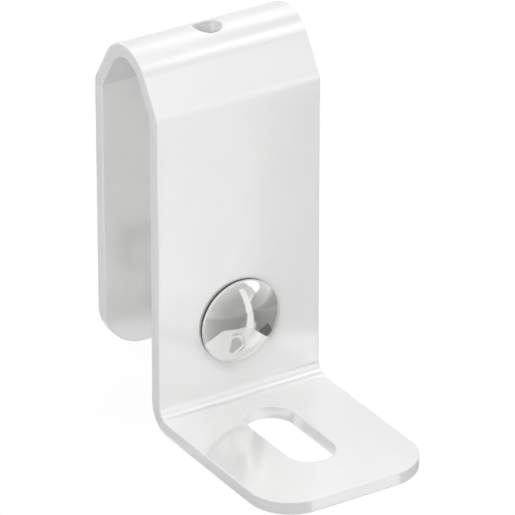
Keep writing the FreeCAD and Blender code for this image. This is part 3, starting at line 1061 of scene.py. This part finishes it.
@dataclass
class HexNut(Piece):
    """Plain hexagon nut with chamfered corners and a threaded bore."""

    axis_height: float = 21 * MM
    seat: float = 45 * MM
    height: float = 6.5 * MM
    across_flats: float = 13 * MM
    corner_round: float = 0.25 * MM
    corner_clear: float = 0.2 * MM
    corner_angle: float = 30
    bore: float = 4 * MM
    bore_chamfer: float = 0.5 * MM
    thread_phase: float = 33 * MM
    thread_clearance: float = 0.05 * MM
    corner_steps: int = 4
    flat_cuts: int = 15

    @property
    def outer(self) -> float:
        """Y of the nut's outer face."""
        return self.seat + self.height

    @property
    def face_radius(self) -> float:
        """Radius of the round flat on each face."""
        return self.across_flats / 2 - self.corner_clear

    @property
    def thread(self) -> ScrewThread:
        """The bore's thread, in step with the bolt's."""
        return ScrewThread(self.axis_height, self.thread_phase, clearance=self.thread_clearance)

    def build(self, zinc: ZincFinish) -> bpy.types.Object:
        """Makes the hexagon round the threaded bore.

        Args:
            zinc: Its finish.

        Returns:
            The object.
        """
        bm = bmesh.new()
        bores = self.thread.sweep(bm, self.seat, self.outer, self.limit)
        low = self.hexagon(bm)
        high = grow(bm, low, lambda place: place + ALONG_BOLT * self.height)
        steep = math.tan(math.radians(self.corner_angle))
        for chain, face, inward, bore in ((low, self.seat, 1, bores[0]), (high, self.outer, -1, bores[1])):
            for vert in {vert for edge in chain for vert in edge.verts}:
                fall = (self.thread.radius_at(vert) - self.face_radius) * steep
                vert.co.y = face + inward * fall
            circle = RoundedOutline(Vector((0, face, self.axis_height)), ALONG_BOLT, 0, 0, self.face_radius)
            ring = grow(bm, chain, partial(self.on_face, circle))
            bmesh.ops.bridge_loops(bm, edges=ring + bore)
        # Radii over which the painted shade in the thread's roots fades out.
        roots = (self.thread.root, self.bore)
        threaded = (self.seat + self.bore_chamfer, self.outer - self.bore_chamfer)
        # The painted contact shadow is a thin band at the seat, where the nut bears on the strip.
        contact_shade = (self.seat, self.seat + zinc.contact_shade_edge)
        return self.publish(bm, zinc.material("zinc_nut", self.axis_height, roots, threaded, contact_shade))

    @staticmethod
    def on_face(circle: RoundedOutline, place: Vector) -> Vector:
        """Finds the place on a round flat's edge that is next to a place outside it.

        Args:
            circle: Outline of the flat, centred in its plane.
            place: The place outside it.

        Returns:
            The place on the edge.
        """
        near = circle.snap(place)
        near.y = circle.centre.y
        return near

    def limit(self, y: float, radius: float) -> float:
        """Radius of the bore's thread, opened out at both faces.

        Args:
            y: Place along the bolt.
            radius: The thread's own radius there.

        Returns:
            The radius.
        """
        edge_distance = min(y - self.seat, self.outer - y)
        return max(radius, self.bore + self.bore_chamfer - edge_distance)

    def hexagon(self, bm: BMesh) -> list[BMEdge]:
        """Draws the hexagon in the seat's plane.

        Args:
            bm: The mesh.

        Returns:
            Its edges, with rounded corners and divided sides.
        """
        turned = Matrix.Rotation(math.pi / 2, 4, "X") @ Matrix.Rotation(math.pi / 6, 4, "Z")
        placed = Matrix.Translation((0, self.seat, self.axis_height)) @ turned
        corner = self.across_flats / math.sqrt(3)
        made = bmesh.ops.create_circle(bm, cap_ends=True, segments=6, radius=corner, matrix=placed)
        bmesh.ops.bevel(
            bm,
            geom=made["verts"],
            offset=self.corner_round,
            offset_type="OFFSET",
            affect="VERTICES",
            segments=self.corner_steps,
            profile=0.5,
            material=-1,
        )
        face = max(bm.faces, key=lambda item: len(item.verts))
        sides = [edge for edge in face.edges if edge.calc_length() > self.corner_round]
        bmesh.ops.bisect_edges(bm, edges=sides, cuts=self.flat_cuts)
        chain = list(face.edges)
        bmesh.ops.delete(bm, geom=[face], context="FACES_ONLY")
        return chain


def show_in_gloss(
    name: str, place: Matrix, material: bpy.types.Material, facing: Vector | None = None
) -> None:
    """Puts up a square that only glossy surfaces see.

    Args:
        name: Name of the square.
        place: Place, turn and size of the unit square.
        material: Its glow, over a UV map from 0 to 1.
        facing: Normal that its shading takes, if not its own.
    """
    bm = bmesh.new()
    bm.loops.layers.uv.new("UVMap")
    bmesh.ops.create_grid(bm, x_segments=1, y_segments=1, size=0.5, matrix=place, calc_uvs=True)
    square = add_mesh(name, bm, material)
    if facing is not None:
        square.data.normals_split_custom_set([facing] * len(square.data.loops))
    square.visible_camera = False
    square.visible_diffuse = False
    square.visible_shadow = False


@dataclass(frozen=True)
class Softbox:
    """A rectangular lamp that faces the bracket, in metres, watts and degrees.

    Its face, where it has a level, is what gloss shows of it, and the face's edge is where that glow ends.
    """

    name: str
    azimuth: float
    elevation: float
    width: float
    height: float
    power: float
    face_level: float = 0
    face_edge: tuple[float, float] = (0.4, 1)
    distance: float = 1

    def hang(self, target: Vector) -> None:
        """Hangs the lamp.

        Args:
            target: Point that it faces.
        """
        turn = math.radians(self.azimuth)
        lift = math.radians(self.elevation)
        back = Vector((math.sin(turn) * math.cos(lift), -math.cos(turn) * math.cos(lift), math.sin(lift)))
        light = bpy.data.lights.new(self.name, "AREA")
        light.shape = "RECTANGLE"
        light.size = self.width
        light.size_y = self.height
        light.energy = self.power
        lamp = add_object(self.name, light)
        lamp.visible_camera = False
        lamp.visible_glossy = False
        turned = back.to_track_quat("Z", "Y").to_matrix().to_4x4()
        place = Matrix.Translation(target + back * self.distance) @ turned
        lamp.matrix_world = place
        if self.face_level > 0:
            sized = place @ Matrix.Diagonal((self.width, self.height, 1, 1))
            show_in_gloss(f"{self.name}_face", sized, self.face())

    def face(self) -> bpy.types.Material:
        """Makes a glow that ends in a soft, rounded edge.

        Returns:
            The material.
        """
        material, sheet = new_material(f"{self.name}_face")
        across, along = (2 * place - 1 for place in sheet.map_place())
        across = across * across
        along = along * along
        off = across * across + along * along
        glow = sheet.result("ShaderNodeEmission", {"Strength": self.face_level})
        clear = sheet.result("ShaderNodeBsdfTransparent", {})
        sheet.show(sheet.mix(off.step(*self.face_edge), glow, clear))
        return material


@dataclass(frozen=True)
class Card:
    """A flat card that only gloss sees, with its sizes in millimetres.

    Unturned, its breadth runs from the corner to +X and its length to -Y. The rise lifts its far end, and the
    azimuth then turns it about the corner. Its fade takes the level to the far level:

    ACROSS over the reach, a distance across the card.
    ROUND over the reach, the tangent of an angle about the corner, and by the far lift over the far band.
    ASIDE off the rays that the wall mirrors, where one less the cosine grows to the reach.
    VEIL across the whole card, which is clear on those rays.
    """

    name: str
    corner: tuple[float, float, float]
    azimuth: float
    rise: float
    length: float
    breadth: float
    level: float
    fade: Fade = Fade.NONE
    far_level: float = 0
    reach: float = 1
    ray_core: float = 1 / 3
    far_lift: float = 0.25
    far_band: tuple[float, float] = (0.03, 0.2)

    @property
    def by_ray(self) -> bool:
        """Whether the card differs along the rays that the wall mirrors."""
        return self.fade in (Fade.ASIDE, Fade.VEIL)

    def stand(self) -> None:
        """Stands the card in the studio."""
        turn = Matrix.Rotation(math.radians(self.azimuth), 4, "Z")
        tilt = Matrix.Rotation(-math.radians(self.rise), 4, "X")
        centred = Matrix.Translation((self.breadth / 2, -self.length / 2, 0))
        sized = Matrix.Diagonal((self.breadth, self.length, 1, 1))
        place = Matrix.Scale(MM, 4) @ Matrix.Translation(self.corner) @ turn @ tilt @ centred @ sized
        show_in_gloss(self.name, place, self.material(), WALL_RAY if self.by_ray else None)

    def material(self) -> bpy.types.Material:
        """Makes the card's glow.

        Returns:
            The material.
        """
        material, sheet = new_material(self.name)
        colour: Any = grey(self.level)
        if self.fade is not Fade.NONE:
            share = self.share(sheet)
            gone = sheet.map_place()[0] if self.fade is Fade.VEIL else share
            colour = sheet.blend(gone, colour, grey(self.far_level))
        glow = sheet.result("ShaderNodeEmission", {"Color": colour})
        if self.fade is Fade.VEIL:
            glow = sheet.mix(share, sheet.result("ShaderNodeBsdfTransparent", {}), glow)
        sheet.show(glow)
        return material

    def share(self, sheet: NodeSheet) -> Value:
        """Finds how far the fade has gone.

        Args:
            sheet: Node sheet of the card's material.

        Returns:
            The share, from 0 to 1 and on.
        """
        if self.by_ray:
            weight = sheet.node("ShaderNodeLayerWeight", {}, {})
            facing = Value(sheet, weight.outputs["Facing"])
            return facing.step(self.reach * self.ray_core, self.reach)
        across, along = sheet.map_place()
        if self.fade is Fade.ACROSS:
            return across * (abs(self.breadth) / self.reach)
        ahead = 1 - along
        slant = across / ahead * (abs(self.breadth) / self.length / self.reach)
        return slant + self.far_lift * ahead.step(*self.far_band)


@dataclass
class Studio:
    """Pale floor, soft lamps, cards and the camera.

    To the camera and in gloss the floor glows, and its answer is the albedo that keeps the shadow there.
    The room lights the object by its light, and gloss shows its level, or its dim level low down in front.
    """

    target: Vector = field(default_factory=lambda: Vector((0, 12.86, 39.06)) * MM)
    camera_place: Vector = field(default_factory=lambda: Vector((-542.48, -854.95, 572.29)) * MM)
    camera_right: Vector = field(default_factory=lambda: Vector((0.84795, -0.53008, 0)))
    camera_up: Vector = field(default_factory=lambda: Vector((0.24495, 0.39180, 0.88684)))
    sensor: float = 36
    focal_pixels: float = 5523.23
    image_width: float = 515
    view_limit: float = 20
    floor_size: float = 3.4
    floor_albedo: float = 0.8
    floor_glow: float = 0.9
    floor_answer: float = 0.12
    room_light: float = 0.23
    room_level: float = 0.87
    room_dim: float = 0.44
    backdrop: float = 1
    dim_azimuth: float = 15
    dim_ahead: tuple[float, float] = (0.2, 1.05)
    dim_height: tuple[float, float] = (0.3, 1.1)
    lamps: tuple[Softbox, ...] = (
        Softbox("key", 58.5, 36.5, 0.40, 0.84, 3.3, 1.22),
        Softbox("rear", 131, 48, 0.42, 0.4, 1.25, 1.12),
        Softbox("top", 20, 80, 0.6, 0.6, 2.6),
        Softbox("front", -45, 32, 0.6, 0.6, 3.85),
        Softbox("back", -140, 40, 0.6, 0.6, 2.25),
    )
    cards: tuple[Card, ...] = (
        Card("card_left", (-13, 15, 0.1), 24, 0, 2500, -2500, 0.30, Fade.ROUND, 0.64, 3.0),
        Card("card_gap", (-13, 15, 0.05), 24, 0, 1900, 1900, 0.95, Fade.ACROSS, 0.85, 80),
        Card("card_gap_left", (-3, 15, 0.15), 24, 0, 2500, -12, 1.0, Fade.ASIDE, 0.36, 0.025),
        Card("card_right", (4, 15, 0.1), 34, 0, 2500, 60, 0.66, Fade.ACROSS, 0.36, 60),
        Card("card_veil", (4, 15, 0.12), 34, 0, 2500, 60, 0.26, Fade.VEIL, 0.42, 0.02),
        Card("card_far_right", (53.7, 48.5, 0.1), 34, 0, 2500, 2500, 0.36, Fade.ACROSS, 0.62, 300),
        Card("card_slot", (-6, 14, 0.17), 0, 0, 29, 12, 0.95, Fade.ASIDE, 0.82, 0.08),
        Card("card_slot_shade", (-3, 12, 0.2), -4, 0, 19, 8.6, 0.95, Fade.ASIDE, 0.52, 0.08),
        Card("card_slot_end", (1, 14, 0.25), 38.7, 0, 10, 5, 0.95, Fade.ASIDE, 0.52, 0.08),
        Card("card_slot_light", (-0.9, 12.3, 0.3), 38.7, 0, 10, 1.9, 0.95, Fade.ASIDE, 0.92, 0.08),
        Card("card_front", (-26, -12, 0.3), 0, 0, 22, 47.5, 1.02, Fade.ASIDE, 0.38, 0.02),
        Card("card_beside", (26.5, 25, 0.4), 30.5, 0, 23, -16, 1.0, Fade.ASIDE, 0.15, 0.07),
        Card("card_side", (-20.5, 600, 0.1), 0, 0, 590, -600, 0.5, Fade.ACROSS, 0.6, 600),
        Card("card_hook", (-22, 42, 0.2), 0, 0, 19, 60, 0.95, Fade.ASIDE, 0.22, 0.15),
        Card("card_ceiling", (390, 140, 800), 0, 0, 280, 180, 0.55),
        Card("card_strip", (298, -727, 0), 28, 90, 580, 162, 1.0),
        Card("card_strip_top", (298, -726, 578), 28, 90, 45, 85, 1.0),
        Card("card_between", (436, -787, 290), 40, 90, 350, 340, 0.72),
        Card("card_branch", (415, -655, 200), 36, 90, 60, 80, 1.0),
        Card("card_branch_top", (472, -614, 238), 40, 90, 60, 90, 0.92),
    )

    def build(self) -> None:
        """Sets up the floor, the light, the cards and the camera."""
        self.lay_floor()
        self.light_room()
        for lamp in self.lamps:
            lamp.hang(self.target)
        for card in self.cards:
            card.stand()
        self.stand_camera()
        bpy.context.scene.view_settings.view_transform = "Standard"

    def lay_floor(self) -> None:
        """Lays a white floor that keeps a faint shadow."""
        material, sheet = new_material("floor_white")
        plain = sheet.result("ShaderNodeBsdfDiffuse", {"Color": grey(self.floor_albedo)})
        shaded = sheet.result("ShaderNodeBsdfDiffuse", {"Color": grey(self.floor_answer)})
        glow = sheet.result("ShaderNodeEmission", {"Strength": self.floor_glow})
        both = sheet.result("ShaderNodeAddShader", {0: shaded, 1: glow})
        sheet.show(sheet.mix(sheet.on_rays(*Ray), plain, both))
        bm = bmesh.new()
        bmesh.ops.create_grid(bm, x_segments=1, y_segments=1, size=self.floor_size / 2)
        add_mesh("floor", bm, material)

    def light_room(self) -> None:
        """Lights the room evenly; in gloss it is dimmer low down in front, and the camera sees it white."""
        world = bpy.data.worlds.new("room")
        world.use_nodes = True
        sheet = NodeSheet(world.node_tree)
        x, y, z = sheet.axes(sheet.place(Coordinates.DIRECTION))
        turn = math.radians(self.dim_azimuth)
        ahead = x * math.sin(turn) - y * math.cos(turn)
        dimmed = ahead.step(*self.dim_ahead) * (1 - z.step(*self.dim_height))
        levels = (self.room_light, self.room_level, self.room_dim, self.backdrop)
        lit, bright, dim, white = (self.background(sheet, level) for level in levels)
        mirrored = sheet.mix(dimmed, bright, dim)
        around = sheet.mix(sheet.on_rays(Ray.GLOSSY, Ray.TRANSMISSION), lit, mirrored)
        shown = sheet.mix(sheet.on_rays(Ray.CAMERA), around, white)
        sheet.node("ShaderNodeOutputWorld", {}, {"Surface": shown})
        bpy.context.scene.world = world

    @staticmethod
    def background(sheet: NodeSheet, level: float) -> bpy.types.NodeSocket:
        """Plain grey surroundings of one level."""
        return sheet.result("ShaderNodeBackground", {"Color": grey(level)})

    def stand_camera(self) -> None:
        """Stands the camera where the photograph was taken from."""
        data = bpy.data.cameras.new("camera")
        data.sensor_width = self.sensor
        data.lens = self.focal_pixels / self.image_width * self.sensor
        data.clip_end = self.view_limit
        back = self.camera_right.cross(self.camera_up)
        turned = Matrix((self.camera_right, self.camera_up, back)).transposed().to_4x4()
        camera = add_object("camera", data)
        camera.matrix_world = Matrix.Translation(self.camera_place) @ turned
        bpy.context.scene.camera = camera


def main() -> None:
    """Builds the pieces in order, then the studio."""
    logging.basicConfig(level=logging.INFO, format="%(message)s")
    zinc = ZincFinish()
    pieces = (
        FoldedStrip("coated_strip", "folded_bracket", Slot.COAT).build(CoatFinish()),
        CarriageBolt("zinc_bolt", "carriage_bolt", Slot.ZINC).build(zinc),
        HexNut("zinc_nut", "hex_nut", Slot.ZINC).build(zinc),
    )
    for piece in pieces:
        LOG.info("%s: %d faces", piece.name, len(piece.data.polygons))
    Studio().build()


if __name__ == "__main__":
    main()
